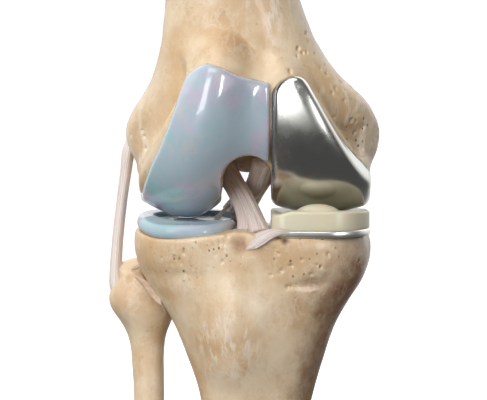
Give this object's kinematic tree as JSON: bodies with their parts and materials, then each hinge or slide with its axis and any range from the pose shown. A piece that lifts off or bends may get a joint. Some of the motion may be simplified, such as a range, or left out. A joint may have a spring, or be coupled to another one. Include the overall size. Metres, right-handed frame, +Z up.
{
  "type": "knee joint with partial knee prosthesis",
  "caption": "Right knee joint of bones, cartilage and ligaments, with a metal and plastic partial replacement of its inner side, bending on one hinge.",
  "frame": {"origin": "centre of the tibial canal at the lower cut face of the tibia", "axes": "+X to the inner side of the knee, +Y to the back, +Z up the leg"},
  "size_m": [0.0865, 0.0651, 0.172],
  "materials": {
    "bone": "satin",
    "spongy_bone": "matte",
    "cartilage": "gloss",
    "ligament": "satin",
    "polished_metal": "polished",
    "tray_metal": "satin",
    "insert_plastic": "satin",
    "cement": "matte"
  },
  "bodies": {
    "lower_leg": {"tibia_cortex": "bone", "tibia_spongy_core": "spongy_bone", "tibial_tray": "tray_metal", "tibial_cement": "cement", "tibial_insert": "insert_plastic", "lateral_tibial_cartilage": "cartilage", "lateral_meniscus": "cartilage", "fibula_cortex": "bone", "fibula_spongy_core": "spongy_bone", "tibiofibular_cartilage": "cartilage", "acl_anteromedial_bundle": "ligament", "acl_posterolateral_bundle": "ligament", "pcl_anterolateral_bundle": "ligament", "pcl_posteromedial_bundle": "ligament", "fibular_collateral_ligament": "ligament", "anterior_tibiofibular_ligament": "ligament", "posterior_tibiofibular_ligament": "ligament", "medial_meniscus_anterior_root": "ligament", "meniscofemoral_ligament": "ligament"},
    "thigh": {"femur_cortex": "bone", "femur_spongy_core": "spongy_bone", "femoral_cartilage": "cartilage", "femoral_component": "polished_metal", "femoral_cement": "cement"}
  },
  "joints": [
    {"name": "knee_flexion", "type": "hinge", "parent": "lower_leg", "child": "thigh", "pos_m": [0, 0.006, 0.1025], "axis": [-1, 0, 0], "range_deg": [0, 120], "deforming": ["acl_anteromedial_bundle", "acl_posterolateral_bundle", "pcl_anterolateral_bundle", "pcl_posteromedial_bundle", "fibular_collateral_ligament", "meniscofemoral_ligament"]}
  ]
}
